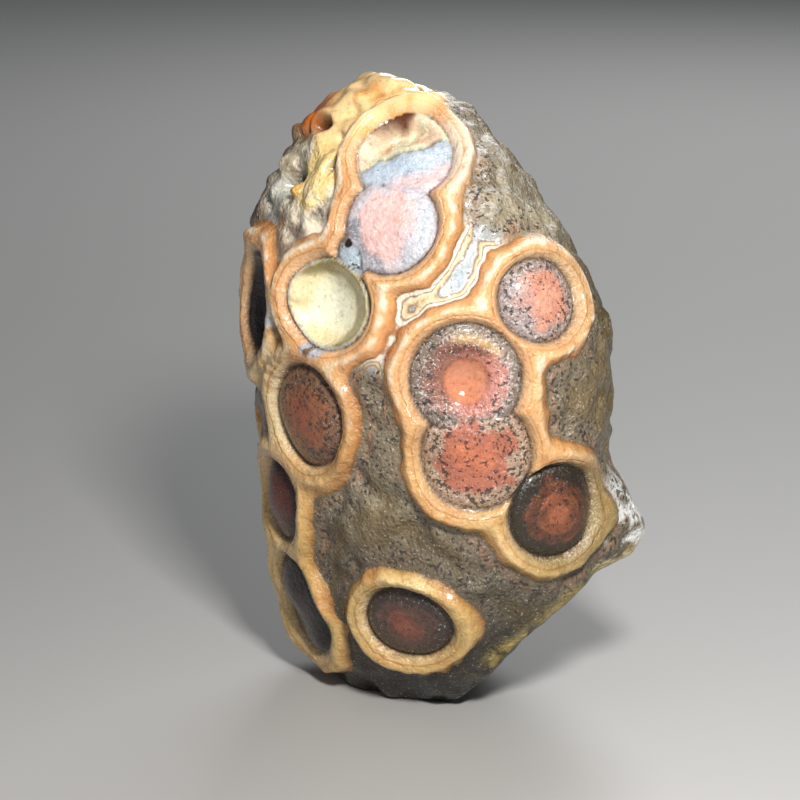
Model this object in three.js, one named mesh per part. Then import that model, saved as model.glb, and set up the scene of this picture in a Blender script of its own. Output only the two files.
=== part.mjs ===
// An eye agate: one natural pebble, about 37 mm tall, standing on its own worn foot.
// Round eyes lie in its skin. Each one is framed by a raised band, and where eyes
// touch, the bands run together. Between them the rough matrix is bare.
// Units are millimetres. +Z is up and -Y is the side with the most eyes.
// The stone is drawn about its own middle line first. At the end it is moved so that
// the origin lies under the middle of its bounding box, on the ground.

import * as THREE from "three";
import { mergeVertices } from "three/addons/utils/BufferGeometryUtils.js";

// Body. Nine even levels, foot to crown: middle line and half widths.
const MIDDLE_HEIGHT = 17.6;
const HALF_HEIGHT = 19.7;
const MIDDLE_X = [-1.0, -0.3, 0.5, 0.35, 0.1, -0.2, -0.8, -1.3, -2.2];
const MIDDLE_Y = [-0.3, -0.1, 0.0, 0.0, 0.0, 0.0, 0.1, 0.4, 0.9];
const HALF_WIDTH = [12.0, 12.0, 11.8, 10.7, 10.7, 11.1, 11.1, 10.3, 10.2];
const FRONT_DEPTH = [11.6, 11.4, 11.0, 10.6, 10.4, 10.4, 10.2, 9.7, 9.2];
const REAR_DEPTH = [11.4, 10.9, 10.4, 9.9, 9.6, 9.5, 9.4, 9.0, 9.0];
// The front bulges further on its right: the depth shifts by this share of the width.
const FRONT_LEAN = 0.27;

// Flat faces, where the stone was broken and worn again.
// Heading 0 looks along -Y and grows to the right; pitch is upwards; reach is the
// distance of the face from the middle; soften rounds the edge it leaves.
const WORN_FACES = [
  { heading: 84, pitch: 35, reach: 12.6, soften: 0.5 },
  { heading: 90, pitch: 75, reach: 17.95, soften: 0.4 },
  { heading: -90, pitch: 51, reach: 17.7, soften: 0.5 },
  { heading: 150, pitch: 8, reach: 9.3, soften: 0.5 },
  { heading: 200, pitch: 22, reach: 10.8, soften: 0.5 },
  { heading: 228, pitch: -12, reach: 11.5, soften: 0.5 },
  { heading: 180, pitch: -42, reach: 13.4, soften: 0.5 },
];
// The broken underside at the lower right.
const UNDERSIDE = { heading: 88, pitch: -49, reach: 14.25, soften: 0.25 };
// It runs further in above the foot, between these two heights.
const UNDERCUT = { depth: 0.8, from: 1.0, to: 4.5 };

// Eyes. Each has a heading and height on the skin, a radius, and a dome height.
// Stretch lengthens it along lean, an angle measured from level.
const EYES = [
  { name: "crown", heading: -1.5, height: 33.5, radius: 2.9 },
  { name: "pink", heading: -9.5, height: 29.7, radius: 2.85, dome: 0.3 },
  { name: "cup", heading: -33, height: 24.9, radius: 2.7, stretch: 1.15 },
  { name: "bridge", heading: -23, height: 27.9, radius: 1.25 },
  { name: "right", heading: 42.5, height: 25.7, radius: 2.45, stretch: 1.05, dome: 0.35 },
  { name: "dish", heading: 11, height: 21.4, radius: 3.25, dome: 0.15 },
  { name: "twin", heading: 13.5, height: 16.9, radius: 3.25, dome: 0.4 },
  { name: "edge", heading: 41.5, height: 13.2, radius: 2.85, dome: 0.45 },
  { name: "left", heading: -43.1, height: 17.9, radius: 2.85, stretch: 1.08, lean: 90, dome: 0.45 },
  { name: "side", heading: -64, height: 11.7, radius: 2.45, stretch: 1.05, lean: 90, dome: 0.4 },
  { name: "flank", heading: -58, height: 5.2, radius: 2.4, stretch: 1.35, lean: 112, dome: 0.3 },
  { name: "foot", heading: -9.5, height: 6, radius: 2.35, stretch: 1.17, dome: 0.5 },
  { name: "hollow", heading: -72, height: 23.4, radius: 2.2, stretch: 1.45, lean: 90 },
  { name: "rear_1", heading: 137, height: 24.5, radius: 2.9, dome: 0.4 },
  { name: "rear_2", heading: 158, height: 19.3, radius: 3.1, dome: 0.4 },
  { name: "rear_3", heading: 190, height: 27.5, radius: 2.6, dome: 0.35 },
  { name: "rear_4", heading: 236, height: 14.5, radius: 2.9, dome: 0.4 },
  { name: "rear_5", heading: 214, height: 10, radius: 2.4, dome: 0.4 },
  { name: "rear_6", heading: 128, height: 9.5, radius: 2.3, dome: 0.4 },
  { name: "rear_7", heading: 238, height: 25, radius: 2.4, dome: 0.4 },
];

// Bands round the eyes.
const BAND_WIDTH = 1.35;
const BAND_HEIGHT = 0.5;
const BAND_CREST = 0.25; // extra height of the crest, as a share of the band's
const CREST_AT = 0.6; // where the crest runs, as a share of the band's width
const CREST_WIDTH = 0.16;

// Eyes that are not plain domes.
const CUP_DEPTH = 1.3;
const CUP_SHARE = 0.92; // the bowl's radius as a share of the eye's
const CUP_LIP = { height: 0.12, at: 0.96, width: 0.05 };
const HOLLOW_DEPTH = 1.2;
// The dish eye sinks in a wide funnel, with a small smooth dish in its middle.
const FUNNEL = { depth: 0.3, from: 0.3, to: 0.8 };
const DISH = { heading: 11, height: 21.3, radius: 1.35, depth: 0.55 };
// The crown eye is broken open above a slanting line through its middle.
const BREAK_SLANT = 26.6;
const BREAK_STEP = 0.4;
const BREAK_DEPTH = 1.9;
const BREAK_RUN = 2.6;

// Crust lumps, grains and hollows outside the bands.
const LUMPS = [
  { heading: -90, height: 33.2, radius: 0.75, rise: 0.6 },
  { heading: -84, height: 34.2, radius: 0.85, rise: 0.6 },
  { heading: -68, height: 34.8, radius: 0.9, stretch: 1.3, lean: 60, rise: 0.6 },
  { heading: -66, height: 35.9, radius: 1.9, rise: 0.45 },
  { heading: -20, height: 37.0, radius: 2.2, stretch: 1.3, rise: 0.45 },
  { heading: -100, height: 36.9, radius: 1.4, rise: 0.2 },
  { heading: -93, height: 35.2, radius: 1.2, rise: 0.5 },
  { heading: -45, height: 31.6, radius: 1.1, stretch: 1.6, lean: 90, rise: 0.35 },
  { heading: -57, height: 30.7, radius: 0.45, rise: 0.4 },
  { heading: -84, height: 31.2, radius: 1.7, stretch: 1.4, lean: 90, rise: 0.5 },
  { heading: -91, height: 29.5, radius: 2.0, stretch: 1.2, lean: 90, rise: 0.65 },
  { heading: 22.4, height: 23.9, radius: 0.5, rise: 0.45 },
];
const PITS = [
  { heading: -65, height: 31.2, radius: 1.1, stretch: 1.25, lean: 30, depth: 1.5 },
  { heading: -62, height: 34.4, radius: 0.75, stretch: 1.4, lean: 20, depth: 0.9 },
  { heading: -43, height: 34, radius: 0.35, depth: 0.7 },
  { heading: -39.5, height: 32.7, radius: 0.32, stretch: 4, lean: 80, depth: 0.5 },
  { heading: 67, height: 36.5, radius: 1.1, depth: 0.75 },
];
// The blunt horn at the lower right.
const HORN = { heading: 80, height: 11.2, radius: 3.7, rise: 2.05, pitch: -6 };

// Uneven skin: long swells everywhere, short ones on the bare matrix.
const SWELL_LENGTH = 6.0;
const SWELL_HEIGHT = 0.12;
const RIPPLE_LENGTH = 2.6;
const RIPPLE_HEIGHT = 0.12;

// Mesh: how the facets are shared out.
const START_DETAIL = 8;
const ROUNDS = 5;
const TOLERANCE = 0.1; // a chord further than this from the surface is split
const SHORTEST_EDGE = 0.35;
// Edges are split where they cross these distances from an eye's edge, so that
// facets follow the inner foot, the two shoulders and the outer foot of the bands.
const CONTOURS = [0, 0.4, 0.9, 1.5];
const NEAR_END = 0.18; // a crossing closer than this to an end isn't used

const rad = THREE.MathUtils.degToRad;
const vec = (x, y, z) => new THREE.Vector3(x, y, z);
const MIDDLE = vec(0, 0, MIDDLE_HEIGHT);

// A smooth line through evenly spaced stations; level runs from -1 to 1.
function through(stations, level) {
  const spans = stations.length - 1;
  const x = Math.min(Math.max(((level + 1) / 2) * spans, 0), spans - 1e-9);
  const i = Math.floor(x);
  const f = x - i;
  const at = (k) => {
    if (k < 0) return 2 * stations[0] - stations[1];
    if (k > spans) return 2 * stations[spans] - stations[spans - 1];
    return stations[k];
  };
  const [a, b, c, d] = [at(i - 1), at(i), at(i + 1), at(i + 2)];
  const bend = 2 * a - 5 * b + 4 * c - d + f * (3 * (b - c) + d - a);
  return b + 0.5 * f * (c - a + f * bend);
}

function way(heading, pitch = 0) {
  const level = Math.cos(rad(pitch));
  return vec(
    level * Math.sin(rad(heading)),
    -level * Math.cos(rad(heading)),
    Math.sin(rad(pitch)),
  );
}

// Moves a point that lies beyond a flat face back onto it, with a soft edge.
function press(point, face) {
  const normal = way(face.heading, face.pitch);
  const over = point.clone().sub(MIDDLE).dot(normal) - face.reach;
  const back = (over + Math.hypot(over, face.soften)) / 2;
  return point.addScaledVector(normal, -back);
}

// The bare body, before bands and eyes, for a direction on the unit sphere.
function skin(way3) {
  const level = way3.z;
  const depth = way3.y < 0 ? FRONT_DEPTH : REAR_DEPTH;
  const across = through(HALF_WIDTH, level) * way3.x;
  const point = vec(
    through(MIDDLE_X, level) + across,
    through(MIDDLE_Y, level) + through(depth, level) * way3.y - FRONT_LEAN * across,
    MIDDLE_HEIGHT + HALF_HEIGHT * level,
  );
  for (const face of WORN_FACES) press(point, face);
  return point;
}

// The direction in which relief rises, close to the body's own normal.
function outward(way3) {
  const y = way3.y / 10.4;
  return vec(way3.x / 10.8 + FRONT_LEAN * y, y, way3.z / HALF_HEIGHT).normalize();
}

// A place on the skin, with the axis along which its shape is stretched.
function spot({ heading, height, radius, stretch = 1, lean = 0 }) {
  const level = (height - MIDDLE_HEIGHT) / HALF_HEIGHT;
  const ring = Math.sqrt(1 - level * level);
  const towards = vec(ring * Math.sin(rad(heading)), -ring * Math.cos(rad(heading)), level);
  const normal = outward(towards);
  const along = vec(0, 0, 1).cross(normal).normalize();
  const up = normal.clone().cross(along);
  const axis = along
    .clone()
    .multiplyScalar(Math.cos(rad(lean)))
    .addScaledVector(up, Math.sin(rad(lean)));
  return { centre: skin(towards), along, up, axis, radius, squeeze: 1 - 1 / stretch ** 2 };
}

function distance(point, place) {
  const offset = point.clone().sub(place.centre);
  const run = offset.dot(place.axis);
  return Math.sqrt(Math.max(0, offset.lengthSq() - place.squeeze * run * run));
}

const eyes = EYES.map((eye) => ({ ...spot(eye), name: eye.name, dome: eye.dome ?? 0 }));
const lumps = LUMPS.map((lump) => ({ ...spot(lump), rise: lump.rise }));
const pits = PITS.map((pit) => ({ ...spot(pit), depth: pit.depth }));
const dish = spot(DISH);
const horn = spot(HORN);
const crown = eyes.find((eye) => eye.name === "crown");
const breakAcross = crown.up
  .clone()
  .multiplyScalar(Math.cos(rad(BREAK_SLANT)))
  .addScaledVector(crown.along, -Math.sin(rad(BREAK_SLANT)));

function smooth(from, to, value) {
  const t = Math.min(Math.max((value - from) / (to - from), 0), 1);
  return t * t * (3 - 2 * t);
}

const bell = (x) => Math.exp(-x * x);
const mound = (q) => Math.sqrt(Math.max(0, 1 - q * q));

// Uneven lumps: slanting waves multiplied in pairs, on a point that is warped first.
function unevenness(point, length, turn) {
  const k = (2 * Math.PI) / length;
  const warp = 0.22 * length;
  const x = point.x + warp * Math.sin(0.61 * k * point.y + turn);
  const y = point.y + warp * Math.sin(0.53 * k * point.z + 2 * turn);
  const z = point.z + warp * Math.sin(0.57 * k * point.x + 3 * turn);
  let total = 0;
  for (let i = 0; i < 3; i++) {
    let pair = 1;
    for (let j = 0; j < 2; j++) {
      const a = turn + 2.4 * (2 * i + j);
      const b = -0.8 + 0.32 * (2 * i + j);
      const c = Math.sqrt(1 - b * b);
      const rate = k * (0.75 + 0.09 * i + 0.05 * j);
      const run = c * Math.cos(a) * x + c * Math.sin(a) * y + b * z;
      pair *= Math.sin(rate * run + 1.3 * a);
    }
    total += pair;
  }
  return total;
}

// The nearest eye, and the distance from its edge (negative inside it).
// Where two bands meet outside the eyes the distances blend, so the bands join round.
function nearestEye(point) {
  const gaps = eyes.map((eye) => distance(point, eye) - eye.radius);
  const low = Math.min(...gaps);
  const eye = eyes[gaps.indexOf(low)];
  const blend = 0.05 + 0.35 * smooth(0.2, 1.2, low);
  const weight = gaps.reduce((sum, gap) => sum + Math.exp((low - gap) / blend), 0);
  return { eye, gap: low - blend * Math.log(weight), share: 1 + low / eye.radius };
}

function bandRise(point, gap) {
  const width =
    BAND_WIDTH * (1 + 0.08 * unevenness(point, 4.1, 0.7) + 0.04 * unevenness(point, 1.7, 2.1));
  const t = gap / width;
  const wall = smooth(0, 0.3, t) * (1 - smooth(0.62, 1.12, t));
  return BAND_HEIGHT * (wall + BAND_CREST * bell((t - CREST_AT) / CREST_WIDTH));
}

function eyeRise(point, eye, share) {
  if (eye.name === "cup") {
    const bowl = CUP_DEPTH * Math.max(0, 1 - (share / CUP_SHARE) ** 3);
    return CUP_LIP.height * bell((share - CUP_LIP.at) / CUP_LIP.width) - bowl;
  }
  if (eye.name === "hollow") {
    return -HOLLOW_DEPTH * Math.sqrt(Math.max(0, 1 - share ** 4));
  }
  if (eye.name === "crown") {
    const past = point.clone().sub(eye.centre).dot(breakAcross);
    const depth = BREAK_STEP + (BREAK_DEPTH - BREAK_STEP) * smooth(0.3, BREAK_RUN, past);
    return -depth * smooth(-0.1, 0.15, past) * Math.sqrt(Math.max(0, 1 - share ** 8));
  }
  const dome = eye.dome * Math.max(0, 1 - share * share);
  if (eye.name !== "dish") return dome;
  const funnel = FUNNEL.depth * (1 - smooth(FUNNEL.from, FUNNEL.to, share));
  const reach = distance(point, dish) / DISH.radius;
  return dome - funnel - DISH.depth * Math.max(0, 1 - reach * reach);
}

// How far the surface stands off the bare body at a point of it.
function relief(point) {
  const { eye, gap, share } = nearestEye(point);
  if (gap <= 0) return { rise: eyeRise(point, eye, share), gap };
  let rise = bandRise(point, gap);
  for (const lump of lumps) {
    rise = Math.max(rise, lump.rise * mound(distance(point, lump) / lump.radius));
  }
  for (const pit of pits) {
    rise -= pit.depth * (1 - smooth(0.4, 1, distance(point, pit) / pit.radius));
  }
  return { rise, gap };
}

// The finished surface for a direction on the unit sphere.
function surface(way3) {
  const point = skin(way3);
  const out = outward(way3);
  const { rise, gap } = relief(point);
  const reach = distance(point, horn) / HORN.radius;
  const spur = HORN.rise * Math.max(0, 1 - reach * reach) ** 1.5;
  point.addScaledVector(out, rise);
  const bare = smooth(0.9, 1.5, gap / BAND_WIDTH);
  const swell = SWELL_HEIGHT * unevenness(point, SWELL_LENGTH, 0.3);
  const ripple = RIPPLE_HEIGHT * bare * unevenness(point, RIPPLE_LENGTH, 1.9);
  point.addScaledVector(out, swell + ripple);
  const cut = UNDERCUT.depth * smooth(UNDERCUT.from, UNDERCUT.to, point.z);
  press(point, { ...UNDERSIDE, reach: UNDERSIDE.reach - cut });
  point.addScaledVector(way(HORN.heading, HORN.pitch), spur);
  point.z = Math.max(point.z, 0); // the worn foot is flat
  return { point, gap };
}

// A mesh over the sphere of directions, split where its facets leave the surface.
class Skin {
  constructor(detail) {
    const ball = new THREE.IcosahedronGeometry(1, detail);
    ball.deleteAttribute("normal");
    ball.deleteAttribute("uv");
    const whole = mergeVertices(ball, 1e-4);
    const at = whole.getAttribute("position");
    this.ways = [];
    for (let i = 0; i < at.count; i++) {
      this.ways.push(vec().fromBufferAttribute(at, i).normalize());
    }
    const made = this.ways.map(surface);
    this.points = made.map(({ point }) => point);
    this.gaps = made.map(({ gap }) => gap);
    const order = Array.from(whole.index.array);
    this.faces = [];
    for (let i = 0; i < order.length; i += 3) this.faces.push(order.slice(i, i + 3));
  }

  between(a, b, share) {
    return this.ways[a].clone().lerp(this.ways[b], share).normalize();
  }

  // Where an edge is split: at the contour it crosses nearest its middle, or halfway.
  splitShare(a, b) {
    let best = 0.5;
    let off = 0.5 - NEAR_END;
    for (const contour of CONTOURS) {
      const above = this.gaps[a] > contour;
      if (this.gaps[b] > contour === above) continue;
      let [low, high] = [0, 1];
      for (let step = 0; step < 8; step++) {
        const middle = (low + high) / 2;
        const same = surface(this.between(a, b, middle)).gap > contour === above;
        if (same) low = middle;
        else high = middle;
      }
      if (Math.abs(low - 0.5) < off) {
        best = low;
        off = Math.abs(low - 0.5);
      }
    }
    return best;
  }

  // The greatest distance between an edge and the surface it stands for.
  misfit(a, b) {
    const edge = new THREE.Line3(this.points[a], this.points[b]);
    const offsets = [0.25, 0.5, 0.75].map((share) => {
      const { point } = surface(this.between(a, b, share));
      return point.distanceTo(edge.closestPointToPoint(point, true, vec()));
    });
    return Math.max(...offsets);
  }

  // Splits every badly fitting edge once, and the faces on both sides of it.
  refine(tolerance, shortest) {
    const middles = new Map();
    const keyOf = (a, b) => (a < b ? `${a},${b}` : `${b},${a}`);
    for (const face of this.faces) {
      face.forEach((a, i) => {
        const b = face[(i + 1) % 3];
        const key = keyOf(a, b);
        if (middles.has(key)) return;
        const long = this.points[a].distanceTo(this.points[b]) > shortest;
        if (!long || this.misfit(a, b) <= tolerance) {
          middles.set(key, -1);
          return;
        }
        const towards = this.between(a, b, this.splitShare(a, b));
        const { point, gap } = surface(towards);
        middles.set(key, this.ways.length);
        this.ways.push(towards);
        this.points.push(point);
        this.gaps.push(gap);
      });
    }
    const split = (a, b) => middles.get(keyOf(a, b));
    this.faces = this.faces.flatMap(([a, b, c]) => {
      const mid = [split(a, b), split(b, c), split(c, a)];
      return this.divide([a, b, c], mid);
    });
  }

  // One face becomes one to four, to fit the new points on its edges.
  divide(corners, middles) {
    const count = middles.filter((m) => m >= 0).length;
    if (count === 0) return [corners];
    // Turn the face so that the first edge is split, and with two, the last is whole.
    let turn = middles.findIndex((m, i) => m >= 0 && (count !== 2 || middles[(i + 2) % 3] < 0));
    if (count === 3) turn = 0;
    const [a, b, c] = [0, 1, 2].map((i) => corners[(i + turn) % 3]);
    const [ab, bc, ca] = [0, 1, 2].map((i) => middles[(i + turn) % 3]);
    if (count === 3) {
      return [
        [a, ab, ca],
        [ab, b, bc],
        [ca, bc, c],
        [ab, bc, ca],
      ];
    }
    if (count === 1) {
      return [
        [a, ab, c],
        [ab, b, c],
      ];
    }
    const [p, q] = [this.points[a], this.points[c]];
    const first = p.distanceTo(this.points[bc]) < q.distanceTo(this.points[ab]);
    const tip = [ab, b, bc];
    if (first) {
      return [
        tip,
        [a, ab, bc],
        [a, bc, c],
      ];
    }
    return [
      tip,
      [a, ab, c],
      [ab, bc, c],
    ];
  }

  geometry() {
    const box = new THREE.Box3().setFromPoints(this.points);
    const middle = box.getCenter(vec());
    const made = new THREE.BufferGeometry().setFromPoints(this.points);
    made.setIndex(this.faces.flat());
    made.translate(-middle.x, -middle.y, -box.min.z);
    made.computeVertexNormals();
    return made;
  }
}

function stone() {
  const mesh = new Skin(START_DETAIL);
  for (let round = 0; round < ROUNDS; round++) mesh.refine(TOLERANCE, SHORTEST_EDGE);
  return mesh.geometry();
}

const agate = new THREE.Mesh(
  stone(),
  new THREE.MeshStandardMaterial({ color: 0x9a8054, roughness: 0.45, metalness: 0 }),
);
agate.name = "agate_stone";

const part = new THREE.Group();
part.name = "eye_agate";
part.add(agate);

export default part;
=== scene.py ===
# %% [markdown]
# # An eye agate
# A pebble of banded quartz, about 37 mm tall. Round eyes lie in its skin, each framed
# by a raised tan band, and rough matrix fills the space between them.
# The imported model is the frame: it says where the stone is and how big it is.
# Everything below works in millimetres, and is turned into metres when a mesh is made.

import math
from collections import namedtuple

import bpy
import numpy as np
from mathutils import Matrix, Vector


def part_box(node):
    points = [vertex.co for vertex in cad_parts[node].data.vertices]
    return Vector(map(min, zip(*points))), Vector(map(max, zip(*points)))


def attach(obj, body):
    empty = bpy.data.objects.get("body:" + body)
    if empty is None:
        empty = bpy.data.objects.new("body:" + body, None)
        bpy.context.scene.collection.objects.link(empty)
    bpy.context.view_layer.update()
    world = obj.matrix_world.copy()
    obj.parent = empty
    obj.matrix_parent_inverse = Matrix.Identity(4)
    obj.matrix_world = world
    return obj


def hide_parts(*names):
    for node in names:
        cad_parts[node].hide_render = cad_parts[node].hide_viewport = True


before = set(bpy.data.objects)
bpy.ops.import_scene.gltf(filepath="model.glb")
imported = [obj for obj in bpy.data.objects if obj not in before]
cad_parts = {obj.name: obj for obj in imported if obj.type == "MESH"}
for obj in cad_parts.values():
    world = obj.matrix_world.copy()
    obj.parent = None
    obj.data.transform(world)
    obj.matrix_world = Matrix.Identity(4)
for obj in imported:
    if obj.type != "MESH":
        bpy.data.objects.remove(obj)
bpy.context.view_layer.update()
MM = 0.001
STONE = "agate_stone"
cad_low, cad_high = (np.array(corner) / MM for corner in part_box(STONE))
print("stone in the frame, mm:", cad_low.round(2), cad_high.round(2))

# %% [markdown]
# ## Camera
# The photograph looks down on the stone a little, and its outline is almost parallel, as
# in a close product picture. The camera could be moved by eye until the outlines agree.
# An angle and a distance do the same and can be read off, with a long lens far away.

# %% Place the camera
CAMERA_ELEVATION = 15.0  # degrees above level
CAMERA_DISTANCE = 200.0
FRAME_WIDTH = 48.4  # what the picture spans at the stone
SENSOR_WIDTH = 36.0
AIM = np.array([-2.4, 0.0, 17.45])  # the middle of the picture


def aim_at(thing, where, target):
    """Turns a camera or lamp so that its own -Z points from where to target, with Y up."""
    thing.location = [c * MM for c in where]
    line = Vector([t - w for t, w in zip(target, where)])
    thing.rotation_euler = line.to_track_quat("-Z", "Y").to_euler()


tilt = math.radians(CAMERA_ELEVATION)
camera_at = AIM + CAMERA_DISTANCE * np.array([0, -math.cos(tilt), math.sin(tilt)])
camera = bpy.data.objects.new("camera", bpy.data.cameras.new("camera"))
camera.data.sensor_width = SENSOR_WIDTH
camera.data.lens = SENSOR_WIDTH * CAMERA_DISTANCE / FRAME_WIDTH
camera.data.clip_start = 10 * MM
bpy.context.collection.objects.link(camera)
aim_at(camera, camera_at, AIM)
bpy.context.scene.camera = camera
print("lens, mm:", round(camera.data.lens, 1))

# %% [markdown]
# ## The bare body
# Under its bands the stone is a lopsided egg. It could be sculpted, but a formula is
# easier to keep the same everywhere: a direction on the unit sphere goes in and a point
# comes out. Nine stations from foot to crown give the middle line and the half widths.
# Then flat worn faces press the egg in, each with a softened edge.

# %% Body stations and worn faces
MIDDLE_HEIGHT = 17.6
HALF_HEIGHT = 19.7
MIDDLE_X = [-1.0, -0.3, 0.5, 0.35, 0.1, -0.2, -0.8, -1.3, -2.2]
MIDDLE_Y = [-0.3, -0.1, 0.0, 0.0, 0.0, 0.0, 0.1, 0.4, 0.9]
HALF_WIDTH = [12.0, 12.0, 11.8, 10.7, 10.7, 11.1, 11.1, 10.3, 10.2]
FRONT_DEPTH = [11.6, 11.4, 11.0, 10.6, 10.4, 10.4, 10.2, 9.7, 9.2]
REAR_DEPTH = [11.4, 10.9, 10.4, 9.9, 9.6, 9.5, 9.4, 9.0, 9.0]
FRONT_LEAN = 0.27  # the front bulges further on its right
MEAN_HALF_WIDTH = 10.8
MEAN_HALF_DEPTH = 10.4

Face = namedtuple("Face", "heading pitch reach soften")
# Heading 0 is the front and grows to the right. Reach is taken from the stone's middle.
WORN_FACES = [
    Face(84, 35, 12.6, 0.5),
    Face(90, 75, 17.95, 0.4),
    Face(-90, 51, 17.7, 0.5),
    Face(150, 8, 9.3, 0.5),
    Face(200, 22, 10.8, 0.5),
    Face(228, -12, 11.5, 0.5),
    Face(180, -42, 13.4, 0.5),
]
UNDERSIDE = Face(88, -49, 14.25, 0.25)
UNDERCUT = (1.0, 4.5, 0.8)  # between two heights it runs further in, by this depth


def through(stations, level):
    """A smooth line through evenly spaced stations (Catmull-Rom); level is -1 to 1."""
    s = np.asarray(stations, float)
    x = np.clip((level + 1) / 2 * (len(s) - 1), 0, len(s) - 1 - 1e-9)
    i = x.astype(int)
    f = x - i
    line = np.concatenate([[2 * s[0] - s[1]], s, [2 * s[-1] - s[-2]]])
    a, b, c, d = (line[i + k] for k in range(4))
    bend = 2 * a - 5 * b + 4 * c - d + f * (3 * (b - c) + d - a)
    return b + 0.5 * f * (c - a + f * bend)


def way(heading, pitch=0.0):
    """A unit vector: heading turns it round the stone, pitch lifts it from level."""
    h, t = math.radians(heading), math.radians(pitch)
    return np.array([math.cos(t) * math.sin(h), -math.cos(t) * math.cos(h), math.sin(t)])


def beyond(points, face):
    """How far each point lies outside a flat face, in the face's direction."""
    return (points - [0, 0, MIDDLE_HEIGHT]) @ way(face.heading, face.pitch) - face.reach


def press(points, face):
    """Moves what lies beyond a face back to it: (over + sqrt(over^2 + soft^2)) / 2."""
    over = beyond(points, face)
    back = (over + np.sqrt(over**2 + face.soften**2)) / 2
    return points - back[..., None] * way(face.heading, face.pitch)


def skin(towards):
    """The bare body: the middle line plus the half widths times the direction."""
    x, y, level = towards[..., 0], towards[..., 1], towards[..., 2]
    depth = np.where(y < 0, through(FRONT_DEPTH, level), through(REAR_DEPTH, level))
    across = through(HALF_WIDTH, level) * x
    points = np.stack(
        [
            through(MIDDLE_X, level) + across,
            through(MIDDLE_Y, level) + depth * y - FRONT_LEAN * across,
            MIDDLE_HEIGHT + HALF_HEIGHT * level,
        ],
        -1,
    )
    for face in WORN_FACES:
        points = press(points, face)
    return points


def unit(v):
    """Vectors divided by their length."""
    return v / np.linalg.norm(v, axis=-1, keepdims=True)


def outward(towards):
    """The direction in which relief rises: the egg's normal, leaned as the body is."""
    y = towards[..., 1] / MEAN_HALF_DEPTH
    x = towards[..., 0] / MEAN_HALF_WIDTH + FRONT_LEAN * y
    return unit(np.stack([x, y, towards[..., 2] / HALF_HEIGHT], -1))


print("half width at mid height, mm:", through(HALF_WIDTH, 0).round(1))


# %% [markdown]
# ## Where the eyes are
# Each eye is a round patch of concentric quartz. Circles could be cut into the mesh, but
# then every edge would need its own ring of points. Here an eye is only a heading and a
# height on the body with a radius, and distances to it shape and colour what lies near.
# Some eyes are stretched along a leaning axis. Where two overlap, the one with the higher
# rank shows its whole circle.

# %% Table of eyes
Eye = namedtuple("Eye", "heading height radius stretch lean dome rank", defaults=(1, 0, 0, 0))
EYES = {
    "crown": Eye(-1.5, 33.5, 2.9),
    "pink": Eye(-9.5, 29.7, 2.85, dome=0.3, rank=0.35),
    "cup": Eye(-33, 24.9, 2.7, stretch=1.15, rank=0.5),
    "bridge": Eye(-23, 27.9, 1.25),
    "right": Eye(42.5, 25.7, 2.45, stretch=1.05, dome=0.35),
    "dish": Eye(11, 21.4, 3.25, dome=0.15, rank=0.2),
    "twin": Eye(13.5, 16.9, 3.25, dome=0.4),
    "edge": Eye(41.5, 13.2, 2.85, dome=0.45, rank=0.3),
    "left": Eye(-43.1, 17.9, 2.85, stretch=1.08, lean=90, dome=0.45),
    "side": Eye(-64, 11.7, 2.45, stretch=1.05, lean=90, dome=0.4),
    "flank": Eye(-58, 5.2, 2.4, stretch=1.35, lean=112, dome=0.3),
    "foot": Eye(-9.5, 6.0, 2.35, stretch=1.17, dome=0.5),
    "hollow": Eye(-72, 23.4, 2.2, stretch=1.45, lean=90),
    "rear_1": Eye(137, 24.5, 2.9, dome=0.4),
    "rear_2": Eye(158, 19.3, 3.1, dome=0.4, rank=0.2),
    "rear_3": Eye(190, 27.5, 2.6, dome=0.35),
    "rear_4": Eye(236, 14.5, 2.9, dome=0.4),
    "rear_5": Eye(214, 10, 2.4, dome=0.4, rank=0.2),
    "rear_6": Eye(128, 9.5, 2.3, dome=0.4),
    "rear_7": Eye(238, 25, 2.4, dome=0.4),
}
NAMES = list(EYES)


def of_eyes(field):
    """One field of every eye, in the order of NAMES."""
    return np.array([getattr(eye, field) for eye in EYES.values()])


def direction(heading, height):
    """The unit direction whose level is the height and whose turn is the heading."""
    level = (height - MIDDLE_HEIGHT) / HALF_HEIGHT
    ring = math.sqrt(1 - level**2)
    h = math.radians(heading)
    return np.array([ring * math.sin(h), -ring * math.cos(h), level])


def spot(heading, height):
    """A place on the skin with its normal and its two tangents, along and up."""
    towards = direction(heading, height)
    normal = outward(towards)
    along = unit(np.cross([0, 0, 1.0], normal))
    return skin(towards), normal, along, np.cross(normal, along)


def middle_of(name):
    """The spot in the middle of an eye."""
    return spot(EYES[name].heading, EYES[name].height)


def reach_from(points, heading, height, stretch=1.0, lean=0.0):
    """Distance from a spot, shortened along a leaning axis by 1 / stretch."""
    centre, _, along, up = spot(heading, height)
    axis = math.cos(math.radians(lean)) * along + math.sin(math.radians(lean)) * up
    offset = points - centre
    square = (offset**2).sum(-1) - (offset @ axis) ** 2 * (1 - 1 / stretch**2)
    return np.sqrt(np.maximum(square, 0))


def smooth(low, high, value):
    """0 below low, 1 above high, and 3t^2 - 2t^3 between them."""
    t = np.clip((value - low) / (high - low), 0, 1)
    return t * t * (3 - 2 * t)


def bell(x):
    """exp(-x^2)"""
    return np.exp(-(x**2))


def mound(q):
    """A half ball's height over its radius: sqrt(1 - q^2), 0 outside."""
    return np.sqrt(np.maximum(0, 1 - q**2))


SHARP = 0.05
ROUND = 0.35


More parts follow.
